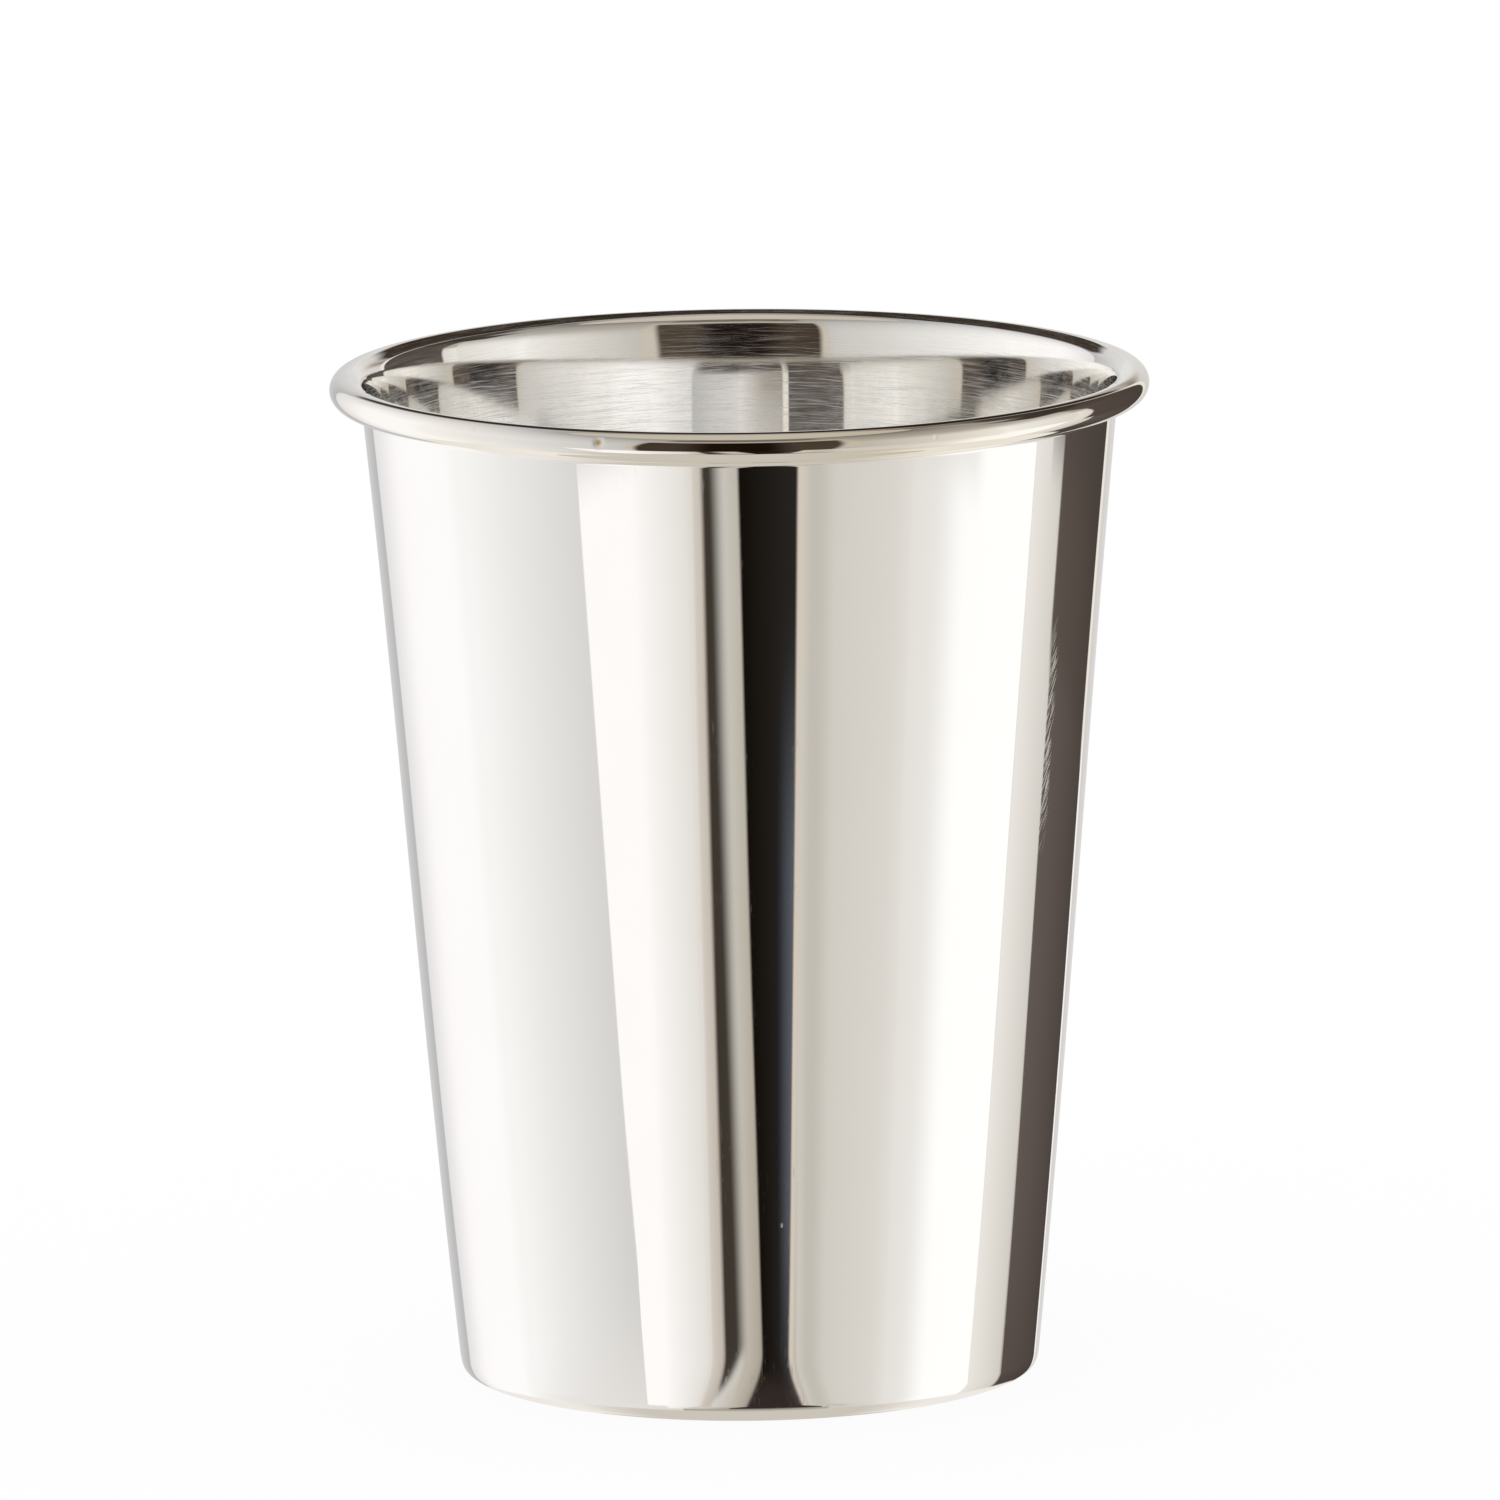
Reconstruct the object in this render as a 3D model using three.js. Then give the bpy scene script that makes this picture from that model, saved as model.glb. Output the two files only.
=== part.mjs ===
// Silver-plated drinking beaker: a spun brass wall on a base disc that is soldered on and dressed flush,
// a round rim ring soldered outside the lip, and a silver deposit over all of it.
// Millimetres, +Z up, origin on the table at the middle of the foot. Every piece is turned about Z.
import * as THREE from "three";

// Outside of the finished beaker
const overallHeight = 100;
const rimDiameter = 81; // across the outside of the rim bead
const beadDiameter = 3;
const footDiameter = 57.8; // across the wall where it leaves the rounded foot
const wallLeanAtFoot = 5.85; // degrees from upright, outwards going up
const wallLeanAtRim = 5.7;
const footCornerHeight = 3.2; // half the height of the dressed corner's ellipse
const footCornerInset = 0.55; // half its width

// Sheet, disc and deposit
const sheetThickness = 0.6;
const plateThickness = 0.03;
const baseDiscThickness = 0.8;
const standRingWidth = 4; // flat ring of the disc that the beaker stands on
const dishRise = 0.5; // how far the middle of the disc is pressed up
const dishRun = 3; // breadth of the slope between the ring and the middle

// Lip inside the rim bead
const lipDepth = 6.5; // below the crest, where the flare of the lip has become the wall
const lipBlendAngle = 25; // degrees past the crest, where the lip leaves the bead
const lipCrestReach = 1.4; // how far the curve holds the bead's direction
const lipWallReach = 6; // how far it holds the wall's direction

// Solder
const rimSolderGap = 0.06; // between the wall and the rim ring
const rimSolderDrop = 2.9; // below the bead's centre, down the wall
const rimSolderAngle = 25; // degrees round the bead's underside from its lowest point
const baseSolderLeg = 1.1; // up the wall from the rounded foot
const baseSolderToe = 1.8; // inwards over the disc from the wall

// Fineness
const turnSegments = 48;
const wallSteps = 6;
const cornerSteps = 2; // on the disc's edge, and again on the wall
const beadSteps = 4; // for each quarter of the bead
const crestSteps = 1; // on the bead, from its top to the lip
const lipSteps = 6;
const lipSeam = 2; // the step of the lip where the solder ends and the wall begins
const solderSteps = 3;
const hiddenWallSteps = 2; // on the wall behind the rim solder
const samePlace = plateThickness / 10; // points closer than this are one

const radians = THREE.MathUtils.degToRad;
const quarterTurn = Math.PI / 2;
const fullTurn = 2 * Math.PI;
const point = (radius, height) => new THREE.Vector2(radius, height);

// Brass before plating: its foot and crest lie one deposit inside the finished size.
const coreFoot = plateThickness;
const discTop = coreFoot + baseDiscThickness;
const beadRadius = beadDiameter / 2 - plateThickness;
const beadCentre = point((rimDiameter - beadDiameter) / 2, overallHeight - beadDiameter / 2);

// Foot corner: part of an ellipse, from straight down to where its direction is the wall's.
const cornerHalfWidth = footCornerInset - plateThickness;
const cornerHalfHeight = footCornerHeight - plateThickness;
const cornerEnd = -Math.atan((Math.tan(radians(wallLeanAtFoot)) * cornerHalfHeight) / cornerHalfWidth);
const cornerSeam = Math.asin((discTop - footCornerHeight) / cornerHalfHeight); // wall above, disc below
const standRingRadius = footDiameter / 2 - plateThickness - cornerHalfWidth * Math.cos(cornerEnd);
const cornerPoint = (angle) =>
  point(
    standRingRadius + cornerHalfWidth * Math.cos(angle),
    footCornerHeight + cornerHalfHeight * Math.sin(angle),
  );

// Wall: one cubic curve from the foot corner to the height of the bead's centre, even in height.
const wallFoot = cornerPoint(cornerEnd);
const wallTop = point(beadCentre.x - beadRadius - rimSolderGap, beadCentre.y);
const wallThird = (wallTop.y - wallFoot.y) / 3;
const wallCurve = new THREE.CubicBezierCurve(
  wallFoot,
  point(wallFoot.x + wallThird * Math.tan(radians(wallLeanAtFoot)), wallFoot.y + wallThird),
  point(wallTop.x - wallThird * Math.tan(radians(wallLeanAtRim)), wallTop.y - wallThird),
  wallTop,
);

// A point of the wall at a height of its outside, moved a depth into the sheet.
function wallPoint(height, depth) {
  const share = (height - wallFoot.y) / (wallTop.y - wallFoot.y);
  const along = wallCurve.getTangent(share);
  return wallCurve.getPoint(share).addScaledVector(point(-along.y, along.x), depth);
}
const outerWallPoint = (height) => wallPoint(height, 0);
const innerWallPoint = (height) => wallPoint(height, sheetThickness);

// Evenly spread points between two values, both ends included.
function spread(from, to, steps, place) {
  return Array.from({ length: steps + 1 }, (_, i) => place(THREE.MathUtils.lerp(from, to, i / steps)));
}

const beadPoint = (angle) =>
  point(beadCentre.x + beadRadius * Math.cos(angle), beadCentre.y + beadRadius * Math.sin(angle));
const beadDirection = (angle) => point(-Math.sin(angle), Math.cos(angle));

// Outline of the brass and solder, in stretches: from the middle of the underside, up the outside,
// over the rim and down the inside to the middle of the floor.
const rimSolderHeight = beadCentre.y - rimSolderDrop;
const beadStart = -quarterTurn - radians(rimSolderAngle);
const beadEnd = quarterTurn + radians(lipBlendAngle);
const lipHeight = overallHeight - lipDepth;
const baseSolderHeight = wallFoot.y + baseSolderLeg;

const dishEdge = standRingRadius - standRingWidth;
const dishFlat = dishEdge - dishRun;
const underside = [
  point(0, coreFoot + dishRise),
  point(dishFlat, coreFoot + dishRise),
  point(dishEdge, coreFoot),
  point(standRingRadius, coreFoot),
];
const discEdge = spread(-quarterTurn, cornerSeam, cornerSteps, cornerPoint);
const wallCorner = spread(cornerSeam, cornerEnd, cornerSteps, cornerPoint);
const outerWall = spread(wallFoot.y, rimSolderHeight, wallSteps, outerWallPoint);

// Rim solder below the bead: it leaves the wall and the bead along their own directions.
const solderOnWall = outerWallPoint(rimSolderHeight);
const solderOnBead = beadPoint(beadStart);
const rimSolderReach = solderOnBead.x - solderOnWall.x;
const rimSolderCurve = new THREE.QuadraticBezierCurve(
  solderOnWall,
  solderOnBead.clone().addScaledVector(beadDirection(beadStart), -rimSolderReach),
  solderOnBead,
);
const rimSolder = rimSolderCurve.getPoints(solderSteps);

const beadOutside = [
  ...spread(beadStart, 0, beadSteps, beadPoint),
  ...spread(0, quarterTurn, beadSteps, beadPoint),
];
const beadCrest = spread(quarterTurn, beadEnd, crestSteps, beadPoint);
const beadHidden = spread(beadEnd, beadStart + fullTurn, beadSteps, beadPoint);

// Lip: from the bead's crest, over the solder and the dressed edge of the wall, into the wall's inside.
const lipFoot = innerWallPoint(lipHeight);
const lipWallDirection = point(Math.sin(radians(wallLeanAtRim)), Math.cos(radians(wallLeanAtRim)));
const lipCurve = new THREE.CubicBezierCurve(
  beadPoint(beadEnd),
  beadPoint(beadEnd).addScaledVector(beadDirection(beadEnd), lipCrestReach),
  lipFoot.clone().addScaledVector(lipWallDirection, lipWallReach),
  lipFoot,
);
const lip = lipCurve.getPoints(lipSteps);
const lipOverSolder = lip.slice(0, lipSeam + 1);
const lipOverWall = lip.slice(lipSeam);

const innerWall = spread(lipHeight, baseSolderHeight, wallSteps, innerWallPoint);

// Base solder: a hollow fillet from the wall's inside to the disc, over the wall's heel.
const wallHeel = point(cornerPoint(cornerSeam).x - sheetThickness, discTop); // inner edge of its foot
const filletTop = innerWallPoint(baseSolderHeight);
const filletToe = point(wallHeel.x - baseSolderToe, discTop);
const baseFillet = new THREE.QuadraticBezierCurve(filletTop, wallHeel, filletToe).getPoints(solderSteps);
const discFloor = [
  point(dishEdge, discTop),
  point(dishFlat, discTop + dishRise),
  point(0, discTop + dishRise),
];

// Joins stretches end to end, leaving out the point that two of them share.
function chain(...stretches) {
  const points = stretches.flat();
  return points.filter((p, i) => i === 0 || p.distanceTo(points[i - 1]) > samePlace);
}

// The outline moved outwards by a distance, with mitred corners. Ends on the axis stay on it.
function grown(outline, distance) {
  const outward = (a, b) => point(b.y - a.y, a.x - b.x).normalize();
  return outline.map((p, i) => {
    const before = outward(outline[Math.max(i - 1, 0)], outline[Math.max(i, 1)]);
    const last = outline.length - 1;
    const after = outward(outline[Math.min(i, last - 1)], outline[Math.min(i + 1, last)]);
    const mitre = before.clone().add(after).divideScalar(1 + before.dot(after));
    return p.clone().addScaledVector(mitre, distance);
  });
}

// A mesh turned about Z from a section that runs anticlockwise, seen with the axis on its left.
function turned(name, section, material) {
  const onAxis = section[0].x === 0;
  const profile = onAxis ? section : [...section, section[0]];
  const geometry = new THREE.LatheGeometry(profile, turnSegments);
  geometry.rotateX(quarterTurn);
  const mesh = new THREE.Mesh(geometry, material);
  mesh.name = name;
  return mesh;
}

const metal = (color, roughness) => new THREE.MeshStandardMaterial({ color, roughness, metalness: 1 });

// Brass pieces
const wallHidden = spread(rimSolderHeight, wallTop.y, hiddenWallSteps, outerWallPoint);
const wallShell = turned(
  "wall_shell",
  chain(wallCorner, outerWall, wallHidden, lipOverWall, innerWall, [wallHeel]),
  metal(0xb58a45, 0.35),
);
const baseDisc = turned(
  "base_disc",
  chain(underside, discEdge, discFloor),
  metal(0xb08540, 0.4),
);
const rimRing = turned(
  "rim_ring",
  chain(beadOutside, beadCrest, beadHidden).slice(0, -1),
  metal(0xb88d48, 0.3),
);

// Solder seams
const rimSeam = turned(
  "rim_solder_seam",
  chain(rimSolder, [...beadHidden].reverse(), lipOverSolder, [...wallHidden].reverse()).slice(0, -1),
  metal(0xa6a59f, 0.45),
);
const baseSeam = turned(
  "base_solder_ring",
  chain([wallHeel], baseFillet),
  metal(0xa3a29c, 0.5),
);

// Silver deposit in three stretches, parted at the crest of the rim and at the edge of the stand ring.
const outside = [underside, discEdge, wallCorner, outerWall, rimSolder, beadOutside];
const inside = [beadCrest, lip, innerWall, baseFillet, discFloor];
const outline = chain(...outside, ...inside);
const silver = grown(outline, plateThickness);
const outlineIndex = (p) => outline.findIndex((q) => q.distanceTo(p) < samePlace);
const footEdge = outlineIndex(point(standRingRadius, coreFoot));
const crest = outlineIndex(beadPoint(quarterTurn));

// The deposit between two places on the outline.
function plate(name, from, to, material) {
  const face = silver.slice(from, to + 1);
  const back = outline.slice(from, to + 1).reverse();
  return turned(name, chain(face, back), material);
}

const undersidePlate = plate("underside_silver_plate", 0, footEdge, metal(0xdedad1, 0.2));
const outerPlate = plate("outer_silver_plate", footEdge, crest, metal(0xeae7e0, 0.05));
const innerPlate = plate("inner_silver_plate", crest, outline.length - 1, metal(0xdcd9d2, 0.25));

const beaker = new THREE.Group();
beaker.name = "beaker";
beaker.add(wallShell, baseDisc, rimRing, rimSeam, baseSeam, undersidePlate, outerPlate, innerPlate);

export default beaker;
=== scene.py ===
import math

import bpy
import numpy as np
from mathutils import Matrix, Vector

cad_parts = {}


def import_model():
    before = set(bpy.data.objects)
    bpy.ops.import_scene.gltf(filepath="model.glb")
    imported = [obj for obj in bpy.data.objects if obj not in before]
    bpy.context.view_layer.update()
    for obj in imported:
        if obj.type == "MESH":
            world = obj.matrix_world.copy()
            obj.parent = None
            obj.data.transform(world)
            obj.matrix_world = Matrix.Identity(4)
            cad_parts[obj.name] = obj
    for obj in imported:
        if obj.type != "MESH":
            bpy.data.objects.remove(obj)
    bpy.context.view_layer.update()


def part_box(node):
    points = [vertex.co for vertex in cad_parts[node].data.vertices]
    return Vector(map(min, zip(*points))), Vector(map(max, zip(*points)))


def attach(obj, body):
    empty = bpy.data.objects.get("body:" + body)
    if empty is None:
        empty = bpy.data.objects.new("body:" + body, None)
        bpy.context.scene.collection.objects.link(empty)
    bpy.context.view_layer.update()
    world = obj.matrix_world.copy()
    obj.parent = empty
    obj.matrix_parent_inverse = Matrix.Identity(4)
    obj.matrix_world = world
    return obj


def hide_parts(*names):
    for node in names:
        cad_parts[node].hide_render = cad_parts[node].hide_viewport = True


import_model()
scene = bpy.context.scene
mm = 0.001
quarter = math.pi / 2
fullTurn = 4 * quarter

# Shape of the beaker: what the frame already measures, and the curves' own values

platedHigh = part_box("outer_silver_plate")[1]
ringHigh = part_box("rim_ring")[1]
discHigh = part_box("base_disc")[1]
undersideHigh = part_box("underside_silver_plate")[1]

beaker = {
    "height": platedHigh.z,
    "rimRadius": platedHigh.x,
    "plate": platedHigh.x - ringHigh.x,  # silver over the brass
    "standRing": undersideHigh.x,  # outer radius of the flat ring it stands on
    "beadRadius": 1.5 * mm,  # over the silver
    "sheet": 0.6 * mm,
    "disc": 0.8 * mm,
    "leanFoot": math.radians(5.85),
    "leanRim": math.radians(5.7),
    "cornerHeight": 3.2 * mm,  # half axes of the dressed corner at the foot
    "cornerInset": 0.55 * mm,
    "standWidth": 4 * mm,
    "dishRun": 3 * mm,
    "lipDepth": 6.5 * mm,
    "lipAngle": math.radians(25),  # past the crest, where the lip leaves the bead
    "lipCrestReach": 1.4 * mm,
    "lipWallReach": 6 * mm,
    "lipSeam": 1 / 3,  # share of the lip that lies over solder, the rest lies over the wall
    "solderGap": 0.06 * mm,
    "solderDrop": 2.15 * mm,
    "solderAngle": math.radians(25),
    "solderKick": math.radians(14),  # from the wall's direction, where the dressed solder starts
    "solderEdge": 0.12 * mm,  # close ring below that angle, which keeps it crisp
    "solderReach": (0.6 * mm, 0.55 * mm),  # how far it holds its direction at the wall and at the bead
    "baseLeg": 1.1 * mm,
    "baseToe": 1.8 * mm,
}
beaker["dishRise"] = discHigh.z - beaker["plate"] - beaker["disc"]

# steps along each stretch of the outline
fineness = {
    "turns": 256, "dish": 16, "corner": 14, "wall": 32, "solder": 14,
    "bead": 32, "crest": 10, "lip": 64, "baseFillet": 12, "hidden": 6,
}
samePlace = 1e-7  # metres, points closer than this are one
sharpAngle = math.radians(35)  # edges that turn further stay sharp


def bezier(points, steps):
    # Bernstein curve of any degree at even steps
    points = np.array(points)
    share = np.linspace(0, 1, steps + 1)[:, None]
    degree = len(points) - 1
    weights = [math.comb(degree, k) * share**k * (1 - share)**(degree - k) for k in range(degree + 1)]
    return sum(weight * point for weight, point in zip(weights, points))


def brassOutline(b, n):
    # stretches of brass and solder in radius and height, from the middle of the underside
    # up the outside, over the rim and down the inside to the middle of the floor
    foot = b["plate"]
    discTop = foot + b["disc"]
    bead = b["beadRadius"] - b["plate"]
    beadCentre = np.array([b["rimRadius"] - b["beadRadius"], b["height"] - b["beadRadius"]])
    halfWidth = b["cornerInset"] - b["plate"]
    halfHeight = b["cornerHeight"] - b["plate"]
    cornerEnd = -math.atan(math.tan(b["leanFoot"]) * halfHeight / halfWidth)
    cornerSeam = math.asin((discTop - b["cornerHeight"]) / halfHeight)

    def corner(angle):
        # ellipse of the dressed foot
        across = b["standRing"] + halfWidth * np.cos(angle)
        return np.stack([across, b["cornerHeight"] + halfHeight * np.sin(angle)], -1)

    wallFoot = corner(cornerEnd)
    wallTop = np.array([beadCentre[0] - bead - b["solderGap"], beadCentre[1]])
    third = (wallTop[1] - wallFoot[1]) / 3
    r0, r3 = wallFoot[0], wallTop[0]
    r1 = r0 + third * math.tan(b["leanFoot"])
    r2 = r3 - third * math.tan(b["leanRim"])

    def wall(height, depth=0.0):
        # cubic in height with the two leans at its ends, moved into the sheet along its own normal
        height = np.asarray(height, float)
        t = (height - wallFoot[1]) / (wallTop[1] - wallFoot[1])
        radius = (1 - t)**3 * r0 + 3 * t * (1 - t)**2 * r1 + 3 * t**2 * (1 - t) * r2 + t**3 * r3
        slope = ((1 - t)**2 * (r1 - r0) + 2 * t * (1 - t) * (r2 - r1) + t**2 * (r3 - r2)) / third
        length = np.sqrt(1 + slope**2)
        return np.stack([radius - depth / length, height + depth * slope / length], -1)

    def beadArc(start, end, steps):
        # part of the bead's circle, with angles from straight out
        angle = np.linspace(start, end, steps + 1)
        return beadCentre + bead * np.stack([np.cos(angle), np.sin(angle)], -1)

    def heading(angle):
        # direction along the bead at an angle
        return np.array([-math.sin(angle), math.cos(angle)])

    beadStart = -quarter - b["solderAngle"]
    beadEnd = quarter + b["lipAngle"]
    solderHeight = beadCentre[1] - b["solderDrop"]
    lipHeight = b["height"] - b["lipDepth"]
    filletHeight = wallFoot[1] + b["baseLeg"]

    # pressed base: flat middle, soft slope, flat ring
    dishEdge = b["standRing"] - b["standWidth"]
    dishFlat = dishEdge - b["dishRun"]
    share = np.linspace(0, 1, n["dish"] + 1)
    ease = share * share * (3 - 2 * share)
    middle = np.stack([share[:-1] * dishFlat, np.full(n["dish"], b["dishRise"])], -1)
    slope = np.stack([dishFlat + share * b["dishRun"], b["dishRise"] * (1 - ease)], -1)
    ring = np.stack([np.linspace(dishEdge, b["standRing"], n["hidden"] + 1)[1:], np.zeros(n["hidden"])], -1)
    pressed = np.concatenate([middle, slope, ring])

    # rim solder leaves the wall at a slight angle and meets the bead along the bead
    wallHeights = np.linspace(wallFoot[1], solderHeight - b["solderEdge"], n["wall"])
    onWall, onBead = wall(solderHeight), beadArc(beadStart, 0, 1)[0]
    kick = b["solderReach"][0] * heading(-b["leanRim"] - b["solderKick"])
    meet = b["solderReach"][1] * heading(beadStart)

    # lip leaves the bead along the bead and flares gently out of the wall
    lipTop, lipFoot = beadArc(beadEnd, 0, 1)[0], wall(lipHeight, b["sheet"])
    lipOut = lipTop + b["lipCrestReach"] * heading(beadEnd)
    lipUp = lipFoot + b["lipWallReach"] * np.array([math.sin(b["leanRim"]), math.cos(b["leanRim"])])
    heel = np.array([corner(cornerSeam)[0] - b["sheet"], discTop])
    filletTop = wall(filletHeight, b["sheet"])
    return {
        "underside": pressed + [0, foot],
        "discEdge": corner(np.linspace(-quarter, cornerSeam, n["corner"] + 1)),
        "wallCorner": corner(np.linspace(cornerSeam, cornerEnd, n["corner"] + 1)),
        "outerWall": wall(np.append(wallHeights, solderHeight)),
        "wallHidden": wall(np.linspace(solderHeight, wallTop[1], n["hidden"] + 1)),
        "rimSolder": bezier([onWall, onWall + kick, onBead - meet, onBead], n["solder"]),
        "beadOutside": beadArc(beadStart, quarter, 2 * n["bead"]),
        "beadCrest": beadArc(quarter, beadEnd, n["crest"]),
        "beadHidden": beadArc(beadEnd, beadStart + fullTurn, n["bead"]),
        "lip": bezier([lipTop, lipOut, lipUp, lipFoot], n["lip"]),
        "innerWall": wall(np.linspace(lipHeight, filletHeight, n["wall"] + 1), b["sheet"]),
        "heel": heel[None],
        "baseFillet": bezier([filletTop, heel, heel - [b["baseToe"], 0]], n["baseFillet"]),
        "floor": pressed[::-1][n["hidden"]:] + [0, discTop],
    }


def chain(*stretches):
    # stretches joined end to end without the points that they share
    points = np.concatenate(stretches)
    step = np.linalg.norm(np.diff(points, axis=0), axis=1)
    return points[np.concatenate([[True], step > samePlace])]


def grown(outline, distance):
    # each point moved outwards along the mitre of its two edges' normals
    edge = np.diff(outline, axis=0)
    normal = np.stack([edge[:, 1], -edge[:, 0]], -1) / np.linalg.norm(edge, axis=1)[:, None]
    before = np.concatenate([normal[:1], normal])
    after = np.concatenate([normal, normal[-1:]])
    mitre = (before + after) / (1 + np.sum(before * after, axis=1))[:, None]
    return outline + mitre * distance


# Marks of making and use that are part of the shape, the same on silver and brass

workmanship = {
    # waves per turn, mm up for each radian, mm deep, phase
    "waves": [(3, 26.0, 0.012, 0.4), (5, 17.0, 0.007, 1.9), (8, 11.0, 0.004, 4.1)],
    "calmFoot": 12 * mm, "calmRim": 4 * mm, "calmFade": 8 * mm,  # where the waves die out
    # azimuth and angle round the bead in degrees, breadth and depth in mm
    "pits": [(-19.8, 20, 0.8, 0.06), (27.9, 11, 0.32, 0.03), (-39.5, 28, 0.5, 0.012)],
    "pitSteps": 25,
}
pitWidth = max(pit[2] for pit in workmanship["pits"])


def turnAngles(turns, pits):
    # even steps round the beaker, with closer ones where the bead is pitted
    even = np.arange(turns) * fullTurn / turns
    reach = pitWidth * mm / beaker["rimRadius"] * np.linspace(-1, 1, workmanship["pitSteps"])
    close = [math.radians(pit[0]) + reach for pit in pits]
    return np.unique(np.round(np.concatenate([even, *close]) % fullTurn, 7))


def pitPlace(turn, lift, b):
    # a pit's direction out of the bead, and its place on the bead's surface
    turn, lift = math.radians(turn), math.radians(lift)
    out = np.array([math.cos(lift) * math.sin(turn), -math.cos(lift) * math.cos(turn), math.sin(lift)])
    core = b["rimRadius"] - b["beadRadius"]
    centre = np.array([core * math.sin(turn), -core * math.cos(turn), b["height"] - b["beadRadius"]])
    return out, centre + out * b["beadRadius"]


def asMade(points, b, w):
    # radius swells by a few long shallow waves, and each pit sinks the bead towards its centre line
    azimuth = np.arctan2(points[:, 0], -points[:, 1])
    radial = np.stack([np.sin(azimuth), -np.cos(azimuth), np.zeros(len(points))], -1)
    calm = np.clip(points[:, 2] / w["calmFoot"], 0, 1)
    calm = calm * np.clip((b["height"] - w["calmRim"] - points[:, 2]) / w["calmFade"], 0, 1)
    swell = sum(deep * np.sin(around * azimuth + points[:, 2] / (up * mm) + phase)
                for around, up, deep, phase in w["waves"])
    made = points + radial * (calm * swell * mm)[:, None]
    for turn, lift, width, depth in w["pits"]:
        out, spot = pitPlace(turn, lift, b)
        near = np.clip(1 - np.sum((points - spot)**2, axis=1) / (width * mm)**2, 0, 1)
        made -= out * (near**2 * depth * mm)[:, None]
    return made


# Turning a section into a mesh

def turnedMesh(name, section, azimuths):
    # section carried round Z: x = r sin a, y = -r cos a
    # a section that starts and ends on the axis gets two poles, any other closes on itself
    onAxis = section[0, 0] < samePlace and section[-1, 0] < samePlace
    rings = section[1:-1] if onAxis else section
    rows, cols = len(rings), len(azimuths)
    radius = rings[:, :1]
    height = np.repeat(rings[:, 1:], cols, axis=1)
    points = np.stack([radius * np.sin(azimuths), -radius * np.cos(azimuths), height], -1).reshape(-1, 3)
    run = np.concatenate([[0], np.cumsum(np.linalg.norm(np.diff(section, axis=0), axis=1))])
    runs = np.repeat(run[1:-1] if onAxis else run, cols)

    lower = np.arange(rows - 1 if onAxis else rows)[:, None]
    upper = (lower + 1) % rows
    here = np.arange(cols)[None, :]
    following = (here + 1) % cols
    quads = np.stack([lower * cols + here, lower * cols + following,
                      upper * cols + following, upper * cols + here], -1).reshape(-1, 4)
    corners = [quads.ravel()]
    sizes = [np.full(len(quads), 4)]
    if onAxis:
        start, end, last = rows * cols, rows * cols + 1, (rows - 1) * cols
        points = np.concatenate([points, [[0, 0, section[0, 1]], [0, 0, section[-1, 1]]]])
        runs = np.concatenate([runs, run[[0, -1]]])
        here, following = here[0], following[0]
        corners.append(np.stack([np.full(cols, start), following, here], -1).ravel())
        corners.append(np.stack([np.full(cols, end), last + here, last + following], -1).ravel())
        sizes.append(np.full(2 * cols, 3))
    corners, sizes = np.concatenate(corners), np.concatenate(sizes)
    points = asMade(points, beaker, workmanship)

    mesh = bpy.data.meshes.new(name)
    mesh.vertices.add(len(points))
    mesh.vertices.foreach_set("co", points.ravel())
    mesh.loops.add(len(corners))
    mesh.loops.foreach_set("vertex_index", corners)
    mesh.polygons.add(len(sizes))
    mesh.polygons.foreach_set("loop_start", np.cumsum(sizes) - sizes)
    mesh.update(calc_edges=True)
    mesh.validate()
    # millimetres along the section, for marks that follow it
    mesh.attributes.new("run", "FLOAT", "POINT").data.foreach_set("value", (runs / mm).astype(np.float32))
    mesh.polygons.foreach_set("use_smooth", np.ones(len(sizes), bool))
    mesh.set_sharp_from_angle(angle=sharpAngle)
    return mesh


# Node building

def addNode(tree, kind, inputs=None, **settings):
    # a shader node with its settings, and each input either linked or set
    node = tree.nodes.new("ShaderNode" + kind)
    for setting, value in settings.items():
        setattr(node, setting, value)
    for socket, value in (inputs or {}).items():
        if isinstance(value, bpy.types.NodeSocket):
            tree.links.new(value, node.inputs[socket])
        else:
            node.inputs[socket].default_value = value
    return node


def maths(tree, operation, *values):
    return addNode(tree, "Math", dict(enumerate(values)), operation=operation).outputs[0]


def ramp(tree, value, start, end, low=0.0, high=1.0, kind="SMOOTHSTEP"):
    inputs = {"Value": value, "From Min": start, "From Max": end, "To Min": low, "To Max": high}
    return addNode(tree, "MapRange", inputs, interpolation_type=kind).outputs[0]


def between(tree, share, low, high):
    # straight run from one value to the other
    return ramp(tree, share, 0, 1, low, high, "LINEAR")


def mixed(tree, share, under, over):
    # colour of one layer over another, by its share
    return addNode(tree, "Mix", {0: share, 6: under, 7: over}, data_type="RGBA").outputs[2]


def nodeGroup(name, inputs, outputs):
    tree = bpy.data.node_groups.new(name, "ShaderNodeTree")
    for label, value in inputs.items():
        kind = "NodeSocketFloat" if isinstance(value, (int, float)) else "NodeSocketVector"
        tree.interface.new_socket(name=label, in_out="INPUT", socket_type=kind).default_value = value
    for label in outputs:
        tree.interface.new_socket(name=label, in_out="OUTPUT", socket_type="NodeSocketFloat")
    return tree, tree.nodes.new("NodeGroupInput").outputs, tree.nodes.new("NodeGroupOutput").inputs


def placed(tree, group, inputs):
    return addNode(tree, "Group", inputs, node_tree=group).outputs


def azimuthOf(tree, place):
    # degrees round Z, from the front towards +X
    turn = maths(tree, "ARCTAN2", place["X"], maths(tree, "MULTIPLY", place["Y"], -1.0))
    return maths(tree, "DEGREES", turn)


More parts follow.
